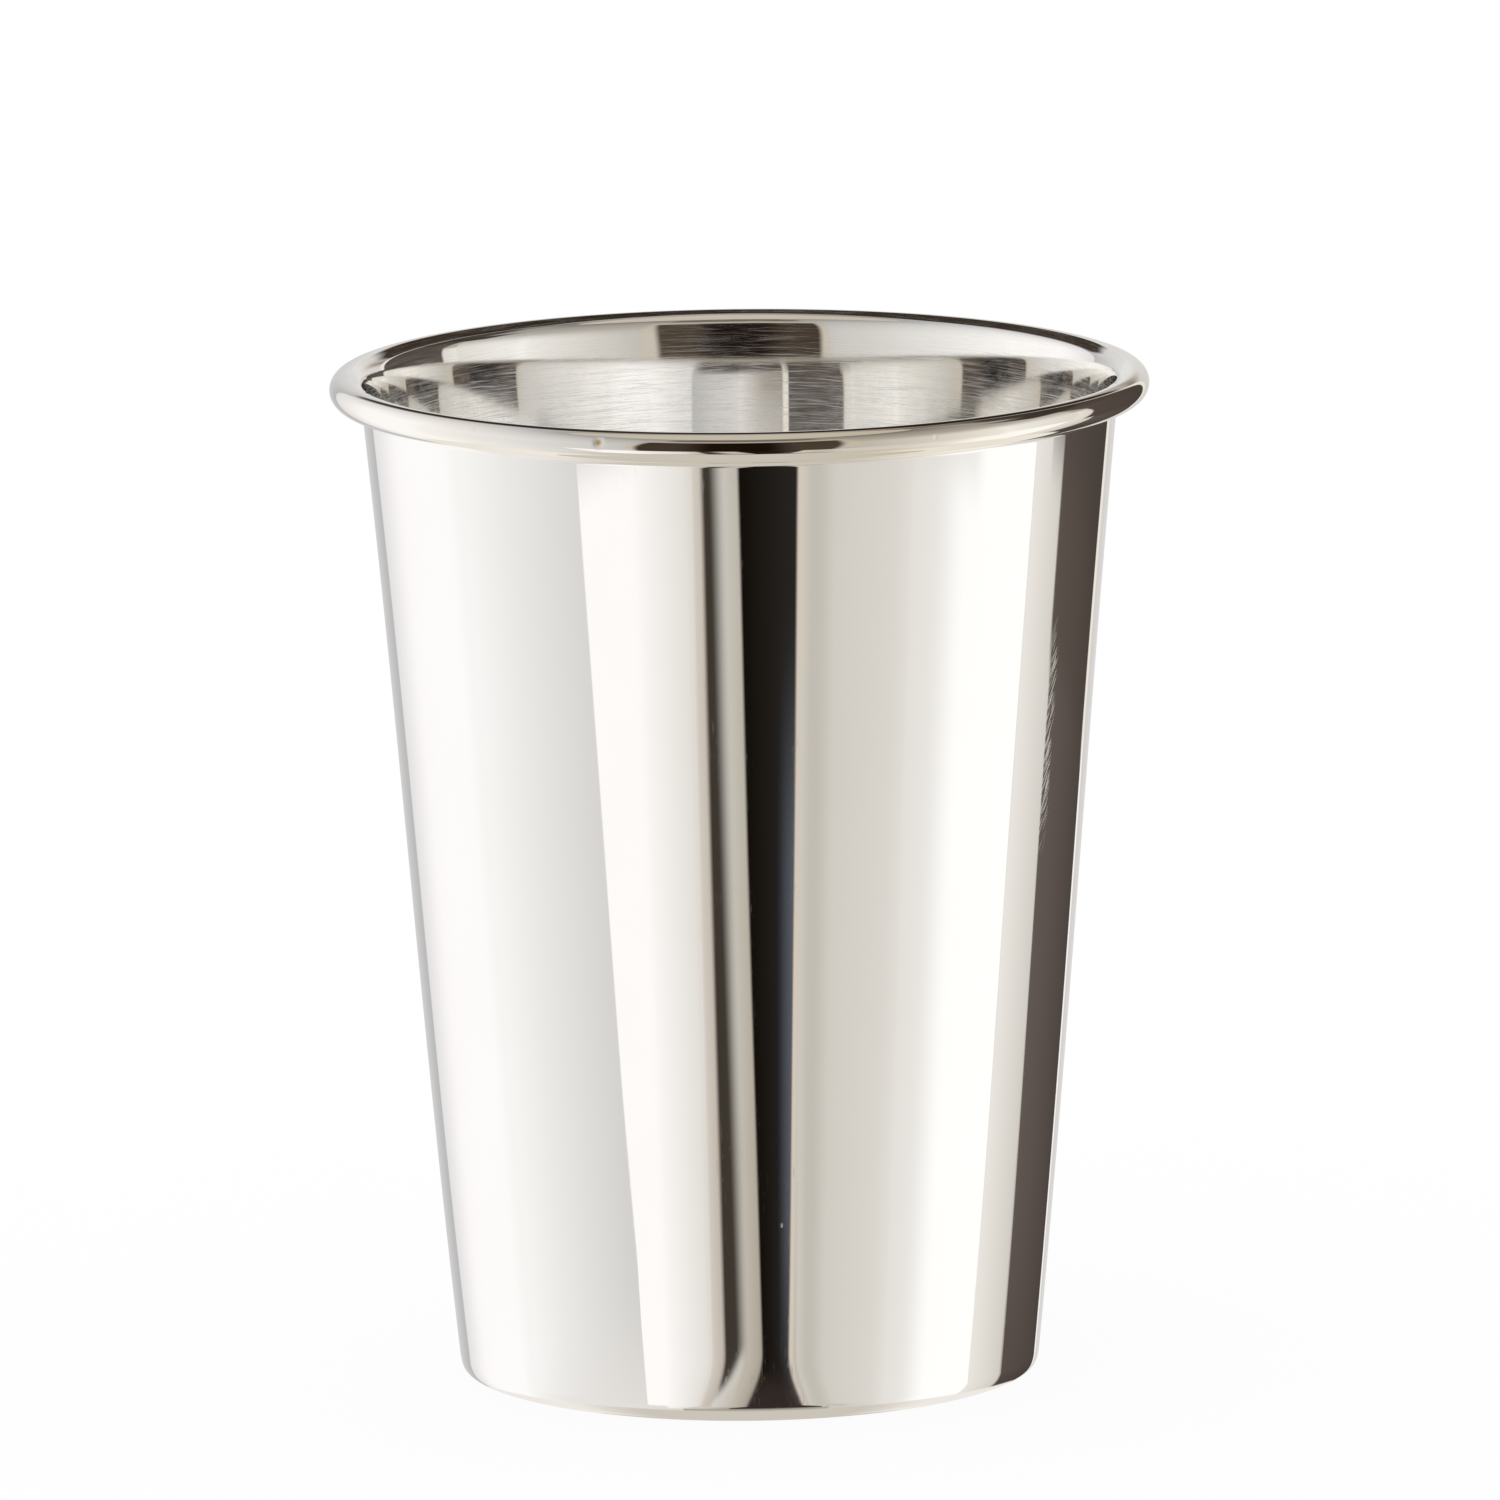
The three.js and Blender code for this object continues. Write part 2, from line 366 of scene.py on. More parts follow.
def srgb(red, green, blue):
    # a colour as it looks on a screen, turned to linear light
    levels = np.array([red, green, blue]) / 255
    linear = np.where(levels <= 0.04045, levels / 12.92, ((levels + 0.055) / 1.055)**2.4)
    return (*linear.tolist(), 1.0)


# Effects that several finishes share

grain = {
    "lines": {"Detail": 3.0, "Roughness": 0.6}, "lineEdge": 0.12,  # softness of their edges, in the noise
    "needles": {"Detail": 0.0}, "needleEdge": 0.14,
    "patches": {"Detail": 3.0, "Roughness": 0.55}, "patchEdges": (0.35, 0.68),
}


def noiseOf(tree, spot, scale, look):
    return addNode(tree, "TexNoise", {"Vector": spot, "Scale": scale, **look}).outputs[0]


def turnedLinesGroup():
    # noise drawn out along the turning: fine steps along the outline, long steps in the level plane
    tree, inputs, outputs = nodeGroup("turnedLines", {
        "Place": (0, 0, 0), "Run": 0.0, "Lines per mm": 5.0, "Length mm": 20.0, "Tilt": 0.0, "Sparse": 0.6},
        ["Height", "Streaks"])
    place = addNode(tree, "SeparateXYZ", {0: inputs["Place"]}).outputs
    perMm = maths(tree, "DIVIDE", 1 / mm, inputs["Length mm"])
    slant = maths(tree, "MULTIPLY", maths(tree, "MULTIPLY", place["X"], 1 / mm), inputs["Tilt"])
    spot = addNode(tree, "CombineXYZ", {
        "X": maths(tree, "MULTIPLY", place["X"], perMm),
        "Y": maths(tree, "MULTIPLY", place["Y"], perMm),
        "Z": maths(tree, "MULTIPLY", maths(tree, "ADD", inputs["Run"], slant), inputs["Lines per mm"])})
    noise = noiseOf(tree, spot.outputs[0], 1.0, grain["lines"])
    tree.links.new(noise, outputs["Height"])
    most = maths(tree, "ADD", inputs["Sparse"], grain["lineEdge"])
    tree.links.new(ramp(tree, noise, inputs["Sparse"], most), outputs["Streaks"])
    return tree


def hairlinesGroup():
    # needles where a noise, drawn out along Z and leaning a little, is highest
    tree, inputs, outputs = nodeGroup("hairlines", {
        "Place": (0, 0, 0), "Lean": 0.1, "Length mm": 14.0, "Width mm": 0.2, "Sparse": 0.68}, ["Lines"])
    place = addNode(tree, "SeparateXYZ", {0: inputs["Place"]}).outputs
    lean = maths(tree, "MULTIPLY", place["Z"], inputs["Lean"])
    wide = maths(tree, "DIVIDE", 1 / mm, inputs["Width mm"])
    long = maths(tree, "DIVIDE", 1 / mm, inputs["Length mm"])
    spot = addNode(tree, "CombineXYZ", {
        "X": maths(tree, "MULTIPLY", maths(tree, "ADD", place["X"], lean), wide),
        "Y": maths(tree, "MULTIPLY", maths(tree, "ADD", place["Y"], lean), wide),
        "Z": maths(tree, "MULTIPLY", place["Z"], long)})
    noise = noiseOf(tree, spot.outputs[0], 1.0, grain["needles"])
    most = maths(tree, "ADD", inputs["Sparse"], grain["needleEdge"])
    tree.links.new(ramp(tree, noise, inputs["Sparse"], most), outputs["Lines"])
    return tree


def cloudsGroup():
    # soft patches of the given size
    tree, inputs, outputs = nodeGroup("clouds", {"Place": (0, 0, 0), "Size mm": 12.0}, ["Patches"])
    noise = noiseOf(tree, inputs["Place"], maths(tree, "DIVIDE", 1 / mm, inputs["Size mm"]), grain["patches"])
    tree.links.new(ramp(tree, noise, *grain["patchEdges"]), outputs["Patches"])
    return tree


turnedLines = turnedLinesGroup()
hairlines = hairlinesGroup()
clouds = cloudsGroup()


def metal(name):
    # a fresh metal material with the coordinates that its finish reads
    made = bpy.data.materials.new(name)
    made.use_nodes = True
    tree = made.node_tree
    shader = tree.nodes["Principled BSDF"]
    shader.inputs["Metallic"].default_value = 1.0
    return made, tree, shader.inputs, addNode(tree, "TexCoord").outputs["Object"]


def linesAlong(tree, place, perMm, length, tilt=0.0, sparse=0.6):
    # turned lines that follow the piece's own section
    run = addNode(tree, "Attribute", attribute_name="run").outputs["Fac"]
    return placed(tree, turnedLines, {"Place": place, "Run": run, "Lines per mm": perMm, "Length mm": length,
                                      "Tilt": tilt, "Sparse": sparse})


def patchesOf(tree, place, size):
    return placed(tree, clouds, {"Place": place, "Size mm": size})["Patches"]


def spotMask(tree, place, centre, inner, outer):
    # one inside a ball round a point, fading to nothing at its edge
    gap = addNode(tree, "VectorMath", {0: place, 1: centre}, operation="DISTANCE").outputs["Value"]
    return ramp(tree, gap, outer, inner)


def bump(tree, height, depth):
    return addNode(tree, "Bump", {"Height": height, "Distance": depth, "Strength": 1.0}).outputs[0]


# Finishes

polish = {
    "silver": (0.98, 0.971, 0.962, 1), "dulled": (0.96, 0.945, 0.922, 1), "brass": (0.78, 0.55, 0.22, 1),
    "roughness": 0.018, "smudged": 0.032, "scratched": 0.09, "rubbed": 0.4,
    "patchSize": 16.0, "dullShare": 0.3,
    "wiping": [(0.015, 22.0, 0.22), (-0.05, 9.0, 0.16)],  # lean, length and width of the faint lines, mm
    "rubbing": {"Lean": -0.4, "Length mm": 2.4, "Width mm": 0.22, "Sparse": 0.5},
    "rubAzimuth": 60.5, "rubWidth": 1.9, "rubHeights": (52, 80), "rubFade": 8,  # degrees and mm
    "rubDepth": 0.002 * mm,
    "nicks": [(7.5, 84, 0.5), (6.1, 20, 0.45), (4.7, 76.5, 0.6)],  # azimuth, then height and breadth in mm
    "nickCore": 0.2, "pitBare": (0.2, 0.45), "pitRim": (0.5, 0.9),  # shares of their breadth
    # on the bead: a darker, warmer tint, its place and breadth in degrees, its share by patch and all over,
    # depths below the crest
    "beadTone": (0.93, 0.885, 0.8, 1), "beadToneAzimuth": 27, "beadToneWidths": (28, 5),
    "beadToneShare": (0.4, 0.3), "beadFade": (4 * mm, 3 * mm),
}


def polishedSilver(p):
    # mirror polish, duller where it was wiped, rubbed and nicked, with a darker, warmer tint on the bead
    made, tree, shader, place = metal("silverPolished")
    part = addNode(tree, "SeparateXYZ", {0: place}).outputs
    azimuth = azimuthOf(tree, part)

    def aside(middle):
        return maths(tree, "ABSOLUTE", maths(tree, "SUBTRACT", azimuth, middle))

    # long faint lines from wiping, gathered in patches
    patches = patchesOf(tree, place, p["patchSize"])
    wiped = [placed(tree, hairlines, {"Place": place, "Lean": lean, "Length mm": length, "Width mm": width})
             for lean, length, width in p["wiping"]]
    lines = maths(tree, "MULTIPLY", maths(tree, "MAXIMUM", *(wipe["Lines"] for wipe in wiped)), patches)

    # rubbed patch of short lines, and nicks
    short = placed(tree, hairlines, {"Place": place, **p["rubbing"]})["Lines"]
    low, high = p["rubHeights"]
    level = maths(tree, "MULTIPLY", ramp(tree, part["Z"], low * mm, (low + p["rubFade"]) * mm),
                  ramp(tree, part["Z"], high * mm, (high - p["rubFade"]) * mm))
    beside = ramp(tree, aside(p["rubAzimuth"]), p["rubWidth"], 0)
    rubbed = maths(tree, "MULTIPLY", short, maths(tree, "MULTIPLY", beside, level))
    for turned, up, breadth in p["nicks"]:
        radius = beaker["standRing"] + up * mm * math.tan(beaker["leanFoot"])
        turn = math.radians(turned)
        spot = (radius * math.sin(turn), -radius * math.cos(turn), up * mm)
        nick = spotMask(tree, place, spot, p["nickCore"] * breadth * mm, breadth * mm)
        rubbed = maths(tree, "MAXIMUM", rubbed, maths(tree, "MULTIPLY", nick, short))

    # pits: the first goes through to the brass
    turned, lift, breadth = workmanship["pits"][0][:3]
    spot = tuple(pitPlace(turned, lift, beaker)[1].tolist())
    bare, rim = (spotMask(tree, place, spot, core * breadth * mm, edge * breadth * mm)
                 for core, edge in (p["pitBare"], p["pitRim"]))

    soft = between(tree, patches, p["roughness"], p["smudged"])
    marked = between(tree, lines, soft, p["scratched"])
    worked = between(tree, maths(tree, "MAXIMUM", rubbed, rim), marked, p["rubbed"])
    tree.links.new(worked, shader["Roughness"])
    tone = mixed(tree, maths(tree, "MULTIPLY", patches, p["dullShare"]), p["silver"], p["dulled"])
    # the bead is tinted darker and warmer: fully near one azimuth, and partly all round by patches
    beadToned = maths(tree, "MAXIMUM", ramp(tree, aside(p["beadToneAzimuth"]), *p["beadToneWidths"]),
                    maths(tree, "MULTIPLY_ADD", patches, *p["beadToneShare"]))
    onBead = ramp(tree, part["Z"], *(beaker["height"] - below for below in p["beadFade"]))
    tone = mixed(tree, maths(tree, "MULTIPLY", beadToned, onBead), tone, p["beadTone"])
    tree.links.new(mixed(tree, bare, tone, p["brass"]), shader["Base Color"])
    tree.links.new(bump(tree, rubbed, p["rubDepth"]), shader["Normal"])
    return made


brushed = {
    "silver": (0.985, 0.972, 0.95, 1), "dulled": (0.96, 0.942, 0.908, 1), "cut": (0.94, 0.94, 0.935, 1),
    "roughness": 0.03, "streaked": 0.1, "patchSize": 10.0,
    "drawn": 1.0, "drawnTurn": 0.25,  # the strokes run round the beaker, so light is drawn out up and down
    "matt": 0.52,  # how metallic the strokes stay, as their broken ground scatters light
    # lines per mm, mm long, tilt and sparseness
    "strokes": [(16, 9, 0, 0.53), (9, 7, 0.06, 0.57), (10, 6, -0.08, 0.57)],
    "lipDepth": 8 * mm, "lipShare": 0.2,  # the lip is polished further, so its strokes are fainter
    "depth": 0.0002 * mm,
}


def brushedSilver(p):
    # three sets of strokes round the inside, matt where they cut
    made, tree, shader, place = metal("silverBrushed")
    strokes = [linesAlong(tree, place, *stroke) for stroke in p["strokes"]]
    cuts = strokes[0]["Streaks"]
    for crossing in strokes[1:]:
        cuts = maths(tree, "MAXIMUM", cuts, crossing["Streaks"])
    height = addNode(tree, "SeparateXYZ", {0: place}).outputs["Z"]
    top = beaker["height"]
    cuts = maths(tree, "MULTIPLY", cuts, ramp(tree, height, top - p["lipDepth"], top, 1.0, p["lipShare"]))
    tree.links.new(between(tree, cuts, p["roughness"], p["streaked"]), shader["Roughness"])
    tree.links.new(between(tree, cuts, 1.0, p["matt"]), shader["Metallic"])
    tone = mixed(tree, patchesOf(tree, place, p["patchSize"]), p["silver"], p["dulled"])
    tree.links.new(mixed(tree, cuts, tone, p["cut"]), shader["Base Color"])
    tree.links.new(bump(tree, strokes[1]["Height"], p["depth"]), shader["Normal"])
    shader["Anisotropic"].default_value = p["drawn"]
    shader["Anisotropic Rotation"].default_value = p["drawnTurn"]
    along = addNode(tree, "Tangent", direction_type="RADIAL", axis="Z").outputs[0]
    tree.links.new(along, shader["Tangent"])
    return made


worn = {
    "silver": (0.92, 0.9, 0.86, 1), "dulled": (0.84, 0.81, 0.75, 1), "roughness": 0.12, "scuffed": 0.42,
    "patchSize": 6.0, "patchShare": 0.5,
    "lines": (4.0, 12.0), "scuffs": (3.0, 2.5, 0.9),  # lines per mm, mm long, tilt
    "depth": 0.006 * mm,
}


def wornSilver(p):
    # turned lines, dulled in patches and scuffed by standing
    made, tree, shader, place = metal("silverUnderside")
    lines = linesAlong(tree, place, *p["lines"])["Height"]
    scuffs = linesAlong(tree, place, *p["scuffs"])["Streaks"]
    patches = patchesOf(tree, place, p["patchSize"])
    wear = maths(tree, "MAXIMUM", scuffs, maths(tree, "MULTIPLY", patches, p["patchShare"]))
    tree.links.new(between(tree, wear, p["roughness"], p["scuffed"]), shader["Roughness"])
    tree.links.new(mixed(tree, patches, p["silver"], p["dulled"]), shader["Base Color"])
    tree.links.new(bump(tree, maths(tree, "ADD", lines, scuffs), p["depth"]), shader["Normal"])
    return made


spunBrass = {
    "bright": (0.74, 0.56, 0.28, 1), "dark": (0.6, 0.43, 0.2, 1), "smooth": 0.28, "rough": 0.42,
    "lines": (3.0, 15.0), "patchSize": 8.0, "depth": 0.01 * mm,
}
dressedSolder = {
    "bright": (0.68, 0.68, 0.65, 1), "dark": (0.5, 0.5, 0.48, 1), "smooth": 0.35, "rough": 0.6,
    "lines": (1.0, 15.0), "patchSize": 2.0, "depth": 0.01 * mm,
}


def hiddenMetal(name, p):
    # turned lines and soft patches under the silver
    made, tree, shader, place = metal(name)
    patches = patchesOf(tree, place, p["patchSize"])
    tree.links.new(mixed(tree, patches, p["bright"], p["dark"]), shader["Base Color"])
    tree.links.new(between(tree, patches, p["smooth"], p["rough"]), shader["Roughness"])
    tree.links.new(bump(tree, linesAlong(tree, place, *p["lines"])["Height"], p["depth"]), shader["Normal"])
    return made


finishes = {
    "silver_polished": polishedSilver(polish),
    "silver_brushed": brushedSilver(brushed),
    "silver_underside": wornSilver(worn),
    "brass_body": hiddenMetal("brassBody", spunBrass),
    "solder": hiddenMetal("solder", dressedSolder),
}
print("finishes made")

# Pieces: the brass and solder sections, and the silver as a skin between the outline and the grown outline

line = brassOutline(beaker, fineness)
seam = int(beaker["lipSeam"] * fineness["lip"])
outside = chain(line["discEdge"], line["wallCorner"], line["outerWall"], line["rimSolder"],
                line["beadOutside"])
inside = chain(line["beadCrest"], line["lip"], line["innerWall"], line["baseFillet"], line["floor"])
brass = chain(line["underside"], outside, inside)
silver = grown(brass, beaker["plate"])
footEdge = len(line["underside"]) - 1
crest = footEdge + len(outside) - 1
under, outer, inner = slice(0, footEdge + 1), slice(footEdge, crest + 1), slice(crest, None)

sections = {
    "wall_shell": ("brass_body", chain(line["wallCorner"], line["outerWall"], line["wallHidden"],
                                       line["lip"][seam:], line["innerWall"], line["heel"])),
    "base_disc": ("brass_body", chain(line["underside"], line["discEdge"], line["floor"])),
    "rim_ring": ("brass_body", chain(line["beadOutside"], line["beadCrest"], line["beadHidden"])[:-1]),
    "rim_solder_seam": ("solder", chain(line["rimSolder"], line["beadHidden"][::-1], line["lip"][:seam + 1],
                                        line["wallHidden"][::-1])[:-1]),
    "base_solder_ring": ("solder", chain(line["heel"], line["baseFillet"])),
    "underside_silver_plate": ("silver_underside", np.concatenate([silver[under], brass[under][::-1]])),
    "outer_silver_plate": ("silver_polished", np.concatenate([silver[outer], brass[outer][::-1]])),
    "inner_silver_plate": ("silver_brushed", np.concatenate([brass[inner][::-1], silver[inner]])),
}
pitted = {"rim_ring", "outer_silver_plate"}

for node, (slotName, section) in sections.items():
    azimuths = turnAngles(fineness["turns"], workmanship["pits"] if node in pitted else [])
    piece = bpy.data.objects.new("turned_" + node, turnedMesh("turned_" + node, section, azimuths))
    scene.collection.objects.link(piece)
    piece.data.materials.append(finishes[slotName])
    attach(piece, "root")
    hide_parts(node)
print("pieces turned:", len(sections))

# Studio: a drum of hung cards that only reflections see, a white floor and an even white sky

studio = {
    "radius": 0.3, "low": -0.5, "high": 0.75, "sides": 180,
    "fadeFrom": 180, "fadeTo": 700, "fadeLeft": 0.4,  # light falls off up the drum, heights in mm
    "tableTop": (-142, -158), "tableAside": (40, 85),  # where it starts, in mm, and turns paler, in degrees
    "horizon": (-0.1, 0.1),  # between table and ceiling past the drum, by the slope of a reflection
}
tentTint = (168, 161, 151)  # between the cards
tableTints = ((240, 236, 230), (204, 198, 188))  # beside the beaker and in front of it
ceilingTint = (198, 188, 173)

# close to the table the front cards are seen spread apart, away from the middle of the black one
tableSpread = {"azimuth": 8.6, "from": -111, "to": -132, "most": 14, "near": 25, "far": 45}

# Each card hangs between two azimuths in degrees, each with a lean in degrees per mm of height and a
# softness, and between two heights in mm, each with a softness. Its tint runs from left to right.
fullDrop = {"low": (-500, 20), "high": (900, 20)}
frontDrop = {"low": (-135, 5), "high": (2, 4)}
flagDrop = {"low": (4, 4), "high": (338, 14)}
blackSides = {"left": (-0.9, -0.05, 0.6), "right": (16.7, 0.019, 0.6)}
flagSides = {"left": (115, -0.0217, 0.4), "right": (149.3, -0.06, 0.4)}
cards = {
    # behind the beaker and to its left
    "backLeft": {"left": (-200, 0, 1), "right": (-150, 0, 1), **fullDrop,
                 "tints": ((236, 235, 235), (196, 195, 195))},
    "backRight": {"left": (150, 0, 1), "right": (200, 0, 1), **fullDrop,
                  "tints": ((210, 207, 204), (240, 239, 238))},
    "leftScreen": {"left": (-146.8, -0.0152, 1), "right": (-90, 0, 10), **fullDrop,
                   "tints": ((257, 255, 255), (256, 255, 255))},
    "leftDim": {"left": (-146.8, -0.0152, 1), "right": (-126, 0, 14), **fullDrop,
                "tints": ((228, 226, 227), (252, 250, 250))},
    "leftFade": {"left": (-98, 0, 8), "right": (-20, 0, 1), **fullDrop,
                 "tints": ((255, 254, 253), (192, 190, 186))},
    "leftEdge": {"left": (-164, 0, 5), "right": (-146.8, -0.0152, 1), "low": (-500, 20), "high": (220, 20),
                 "tints": ((210, 209, 209), (186, 186, 187))},
    "darkBackLeft": {"left": (-200, 0, 1), "right": (-153, 0, 5), "low": (210, 10), "high": (535, 16),
                     "tints": ((54, 42, 31), (62, 53, 45))},
    "darkBackRight": {"left": (152, 0, 1), "right": (200, 0, 1), "low": (216, 16), "high": (535, 16),
                      "tints": ((54, 42, 31), (54, 42, 31))},
    "backShade": {"left": (151.5, 0, 1), "right": (172, 0, 10), "low": (165, 24), "high": (207, 28),
                  "tints": ((130, 121, 107), (172, 164, 152))},
    "leftLow": {"left": (-88, 0, 14), "right": (-20, 0, 1), "low": (-500, 20), "high": (-108, 14),
                "tints": ((236, 234, 232), (222, 219, 213))},
    # in front, from left to right
    "keyStrip": {"left": (-48.8, -0.0709, 0.25), "right": (-9, 0, 1), "low": (-122, 5), "high": (2, 4),
                 "tints": ((257, 254, 253), (256, 254, 252))},
    "keyFall": {"left": (-31.5, 0, 2), "right": (-14.5, 0, 1), **frontDrop,
                "tints": ((254, 251, 250), (226, 223, 217))},
    "pinkStrip": {"left": (-14.8, 0, 1.4), "right": (-9, 0, 1), **frontDrop,
                  "tints": ((214, 208, 199), (190, 179, 167))},
    "paleStrip": {"left": (-9, 0, 1), "right": (4, 0, 1), **frontDrop,
                  "tints": ((213, 211, 204), (176, 167, 152))},
    "darkStrip": {"left": (-11.4, -0.017, 0.9), "right": (-7.15, -0.0413, 2.6), "low": (-118, 2.5),
                  "high": (4, 4), "tints": ((60, 54, 48), (64, 58, 50))},
    "paleHook": {"left": (71.3, 0.67, 2), "right": (-1, 0, 2), "low": (-135, 5), "high": (-111, 2),
                 "tints": ((216, 213, 206), (196, 188, 177))},
    "rightFade": {"left": (17, 0, 1), "right": (60, 0, 8), **fullDrop,
                  "tints": ((205, 201, 192), (225, 222, 216))},
    "rightDip": {"left": (19.5, 0, 1.5), "right": (25.5, 0, 3.5), **frontDrop,
                 "tints": ((197, 192, 182), (194, 190, 180))},
    "rightScreen": {"left": (59, 0, 14), "right": (98.7, 0.037, 0.4), **fullDrop,
                    "tints": ((258, 257, 255), (260, 260, 258))},
    "rightUpper": {"left": (17, 0, 1), "right": (76, 0, 3), "low": (5, 4), "high": (900, 20),
                   "tints": ((172, 168, 160), (243, 241, 237))},
    "rightUpperScreen": {"left": (76, 0, 3), "right": (98.7, 0.037, 0.4), "low": (45, 15),
                         "high": (900, 20), "tints": ((243, 241, 237), (226, 223, 217))},
    "rightTop": {"left": (22, 0, 3), "right": (112, 0, 2), "low": (235, 75), "high": (900, 20),
                 "tints": ((184, 178, 169), (192, 187, 180))},
    "rightGrey": {"left": (98.7, 0.037, 0.4), "right": (116, 0, 1), "low": (-500, 20), "high": (200, 20),
                  "tints": ((236, 233, 227), (210, 206, 199))},
    "brightLine": {"left": (16.7, 0.019, 0.6), "right": (18.8, 0.019, 0.8), **frontDrop,
                   "tints": ((213, 202, 188), (210, 202, 189))},
    "blackStrip": {**blackSides, "low": (-133, 8), "high": (6, 4), "tints": ((18, 13, 8), (40, 37, 34))},
    "blueSheen": {"left": (10.5, 0, 3), "right": blackSides["right"], "low": (-105, 25), "high": (-28, 16),
                  "tints": ((34, 34, 36), (88, 92, 100))},
    "brownFoot": {**blackSides, "low": (-133, 8), "high": (-116, 3), "tints": ((44, 35, 30), (60, 52, 51))},
    # in front and higher, for the bead and the inside
    "flagFrame": {"left": (-30.5, 0, 1.5), "right": (33, 0, 1.5), "low": (60, 20), "high": (415, 25),
                  "tints": ((200, 192, 179), (200, 192, 179))},
    "topLine": {"left": (-25, 0, 2), "right": (27, 0, 2), "low": (440, 20), "high": (580, 30),
                "tints": ((136, 124, 110), (136, 124, 110))},
    "wideFlag": {"left": (-27.5, 0, 1.2), "right": (25, 0.014, 1.5), **flagDrop,
                 "tints": ((66, 55, 45), (76, 65, 54))},
    "deepFlag": {"left": (-12.5, 0, 6), "right": (11.5, 0, 5), **flagDrop,
                 "tints": ((30, 18, 9), (24, 15, 8))},
    # dark flag at the right and the glint beside it
    "rightFlagLow": {**flagSides, "low": (-230, 20), "high": (14, 4),
                     "tints": ((98, 88, 84), (76, 68, 64))},
    "rightFlagFoot": {**flagSides, "low": (-230, 20), "high": (-85, 35),
                      "tints": ((80, 71, 67), (70, 62, 58))},
    "rightGlintLow": {"left": (149.3, -0.06, 0.4), "right": (151.8, -0.06, 0.6), "low": (-230, 20),
                      "high": (8, 4), "tints": ((252, 250, 248), (252, 250, 248))},
    "rightFlag": {"left": (114, 0, 0.6), "right": (148.3, 0, 0.6), "low": (0, 4), "high": (520, 40),
                  "tints": ((92, 82, 76), (74, 66, 61))},
    "rightFlagUpper": {"left": (107, 0.03, 0.8), "right": (148.3, 0, 0.6), "low": (22, 8), "high": (200, 8),
                       "tints": ((84, 75, 70), (72, 64, 59))},
    "rightFlagTop": {"left": (122, -0.075, 1.5), "right": (148.3, 0, 0.6), "low": (300, 10),
                     "high": (410, 40), "tints": ((72, 63, 58), (62, 55, 50))},
    "rightGlint": {"left": (148.3, 0, 0.6), "right": (151.8, 0, 0.8), "low": (0, 4), "high": (210, 30),
                   "tints": ((238, 232, 222), (238, 232, 222))},
}


def hungCardGroup():
    # mask of a card: between its leaning side edges and its two ends
    # across runs from its left edge to its right
    tree, inputs, outputs = nodeGroup("hungCard", {
        "Azimuth": 0.0, "Height": 0.0, "Left": 0.0, "Left lean": 0.0, "Left soft": 1.0, "Right": 0.0,
        "Right lean": 0.0, "Right soft": 1.0, "Low": 0.0, "Low soft": 1.0, "High": 0.0, "High soft": 1.0},
        ["Mask", "Across"])
    left = maths(tree, "MULTIPLY_ADD", inputs["Height"], inputs["Left lean"], inputs["Left"])
    right = maths(tree, "MULTIPLY_ADD", inputs["Height"], inputs["Right lean"], inputs["Right"])

    def after(value, edge, soft):
        return ramp(tree, value, maths(tree, "SUBTRACT", edge, soft), maths(tree, "ADD", edge, soft))

    def before(value, edge, soft):
        return ramp(tree, value, maths(tree, "ADD", edge, soft), maths(tree, "SUBTRACT", edge, soft))

    sides = maths(tree, "MULTIPLY", after(inputs["Azimuth"], left, inputs["Left soft"]),
                  before(inputs["Azimuth"], right, inputs["Right soft"]))
    ends = maths(tree, "MULTIPLY", after(inputs["Height"], inputs["Low"], inputs["Low soft"]),
                 before(inputs["Height"], inputs["High"], inputs["High soft"]))
    tree.links.new(maths(tree, "MULTIPLY", sides, ends), outputs["Mask"])
    tree.links.new(ramp(tree, inputs["Azimuth"], left, right, kind="LINEAR"), outputs["Across"])
    return tree


def spreadApart(tree, azimuth, height, s):
    # azimuth drawn towards the middle near the table, so that what hangs there is seen further out
    off = maths(tree, "SUBTRACT", azimuth, s["azimuth"])
    gap = maths(tree, "ABSOLUTE", off)
    moved = maths(tree, "MULTIPLY", ramp(tree, height, s["from"], s["to"], 0, s["most"]),
                  ramp(tree, gap, s["far"], s["near"]))
    kept = maths(tree, "MAXIMUM", maths(tree, "SUBTRACT", gap, moved), 0.0)
    return maths(tree, "MULTIPLY_ADD", maths(tree, "SIGN", off), kept, s["azimuth"])


def tentLight(s):
    # cards laid one over another on the drum, with the table under them
    made = bpy.data.materials.new("tentLight")
    made.use_nodes = True
    tree = made.node_tree
    tree.nodes.clear()
    place = addNode(tree, "SeparateXYZ", {0: addNode(tree, "TexCoord").outputs["Object"]}).outputs
    height = maths(tree, "MULTIPLY", place["Z"], 1 / mm)
    azimuth = spreadApart(tree, azimuthOf(tree, place), height, tableSpread)
    group = hungCardGroup()
    colour = srgb(*tentTint)
    for card in cards.values():
        edges = {"Azimuth": azimuth, "Height": height}
        for side in ("left", "right"):
            name = side.capitalize()
            edges[name], edges[name + " lean"], edges[name + " soft"] = card[side]
        for end in ("low", "high"):
            name = end.capitalize()
            edges[name], edges[name + " soft"] = card[end]
        hung = placed(tree, group, edges)
        tint = mixed(tree, hung["Across"], srgb(*card["tints"][0]), srgb(*card["tints"][1]))
        colour = mixed(tree, hung["Mask"], colour, tint)
    aside = ramp(tree, maths(tree, "ABSOLUTE", azimuth), *s["tableAside"])
    table = mixed(tree, aside, srgb(*tableTints[1]), srgb(*tableTints[0]))
    colour = mixed(tree, ramp(tree, height, *s["tableTop"]), colour, table)
    fade = ramp(tree, height, s["fadeFrom"], s["fadeTo"], 1.0, s["fadeLeft"], "LINEAR")
    glow = addNode(tree, "Emission", {"Color": colour, "Strength": fade})
    addNode(tree, "OutputMaterial", {"Surface": glow.outputs[0]})
    return made


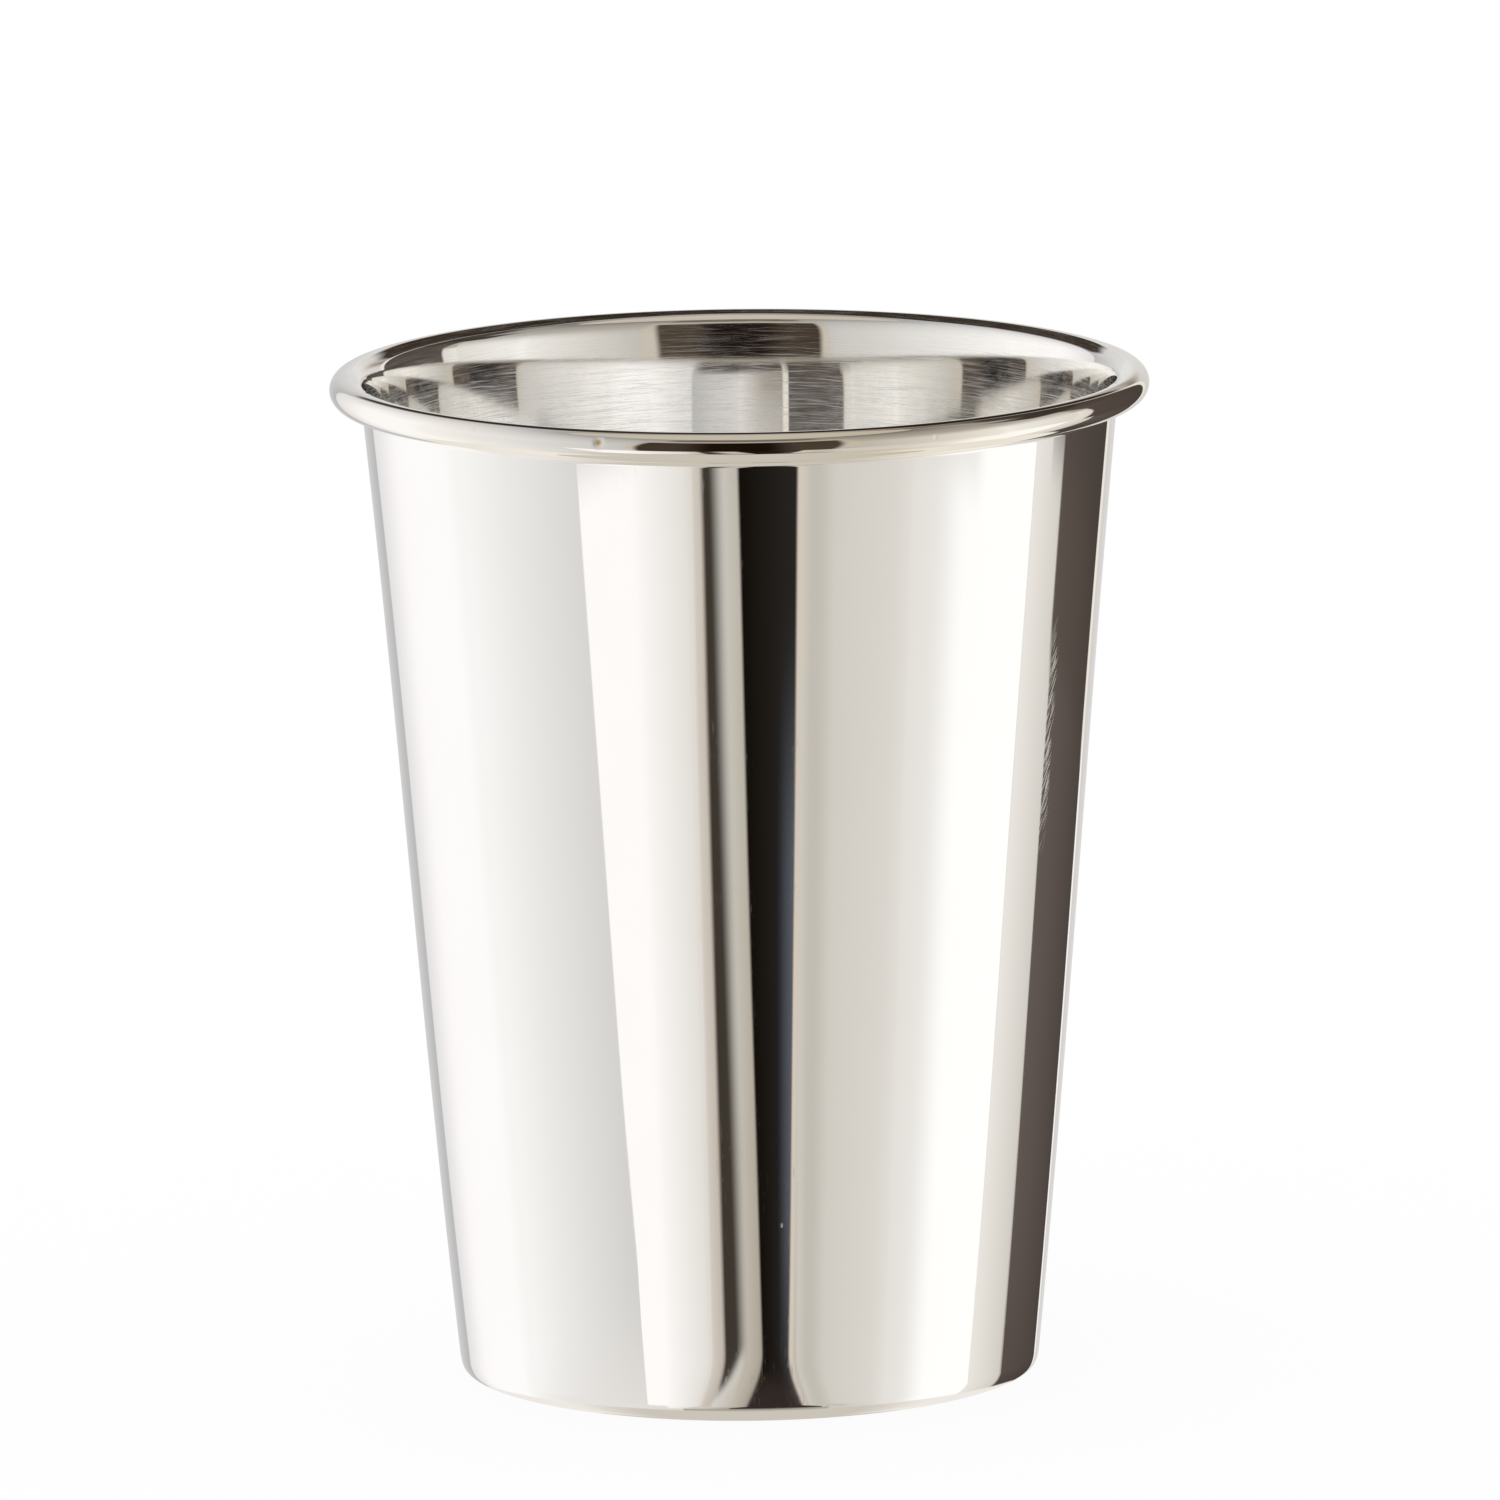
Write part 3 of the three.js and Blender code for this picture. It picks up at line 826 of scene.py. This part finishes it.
def tentWall(s):
    # open drum round the beaker: a circle carried from low to high, facing in
    turn = np.arange(s["sides"]) * fullTurn / s["sides"]
    circle = np.stack([s["radius"] * np.sin(turn), -s["radius"] * np.cos(turn), np.zeros(s["sides"])], -1)
    points = np.concatenate([circle + [0, 0, s["low"]], circle + [0, 0, s["high"]]])
    here = np.arange(s["sides"])
    following = (here + 1) % s["sides"]
    faces = np.stack([here, here + s["sides"], following + s["sides"], following], -1)
    mesh = bpy.data.meshes.new("tent")
    mesh.from_pydata(points.tolist(), [], faces.tolist())
    return bpy.data.objects.new("tent", mesh)


tent = tentWall(studio)
scene.collection.objects.link(tent)
tent.data.materials.append(tentLight(studio))
tent.visible_camera = tent.visible_diffuse = tent.visible_shadow = False
tent.visible_transmission = tent.visible_volume_scatter = False

paper = {"size": 4.0, "glow": 0.9}


def whitePaper(glow):
    # white paper that the camera sees partly lit from behind, so that the shadow on it stays faint
    made = bpy.data.materials.new("paper")
    made.use_nodes = True
    tree = made.node_tree
    shader = tree.nodes["Principled BSDF"]
    shader.inputs["Base Color"].default_value = (1, 1, 1, 1)
    shader.inputs["Roughness"].default_value = 1.0
    shader.inputs["Specular IOR Level"].default_value = 0.0
    light = addNode(tree, "Emission", {"Color": (1, 1, 1, 1), "Strength": 1.0}).outputs[0]
    share = maths(tree, "MULTIPLY", addNode(tree, "LightPath").outputs["Is Camera Ray"], glow)
    both = addNode(tree, "MixShader", {0: share, 1: shader.outputs[0], 2: light}).outputs[0]
    tree.links.new(both, tree.nodes["Material Output"].inputs["Surface"])
    return made


floorMesh = bpy.data.meshes.new("floor")
floorCorners = [(x * paper["size"], y * paper["size"], 0) for x, y in ((-1, -1), (1, -1), (1, 1), (-1, 1))]
floorMesh.from_pydata(floorCorners, [], [(0, 1, 2, 3)])
floorMesh.materials.append(whitePaper(paper["glow"]))
floor = bpy.data.objects.new("floor", floorMesh)
scene.collection.objects.link(floor)
floor.visible_glossy = False  # its reflection is the table on the drum


def studioSky(s):
    # white for the camera and for soft light
    # reflections past the drum see the ceiling above and the table below
    world = bpy.data.worlds.new("studioSky")
    world.use_nodes = True
    tree = world.node_tree
    background = tree.nodes["Background"]
    up = addNode(tree, "SeparateXYZ", {0: addNode(tree, "TexCoord").outputs["Generated"]}).outputs["Z"]
    beyond = mixed(tree, ramp(tree, up, *s["horizon"]), srgb(*tableTints[1]), srgb(*ceilingTint))
    glossy = addNode(tree, "LightPath").outputs["Is Glossy Ray"]
    tree.links.new(mixed(tree, glossy, (1, 1, 1, 1), beyond), background.inputs["Color"])
    return world


scene.world = studioSky(studio)
print("studio hung")

# Camera, fitted to the outline: place, turn right, tilt down and roll in radians

view = {
    "place": (0, -1.6617, 0.36295), "lens": 408.7, "sensor": 36, "reach": 20,
    "right": 0.0004, "down": 0.1793, "roll": 0.0108,
}
camera = bpy.data.cameras.new("camera")
camera.sensor_width = view["sensor"]
camera.lens = view["lens"]
camera.clip_end = view["reach"]
cameraObject = bpy.data.objects.new("camera", camera)
scene.collection.objects.link(cameraObject)
aim = Matrix.Rotation(-view["right"], 4, "Z") @ Matrix.Rotation(quarter - view["down"], 4, "X")
cameraObject.matrix_world = Matrix.Translation(view["place"]) @ aim @ Matrix.Rotation(-view["roll"], 4, "Z")
scene.camera = cameraObject
scene.view_settings.view_transform = "Standard"
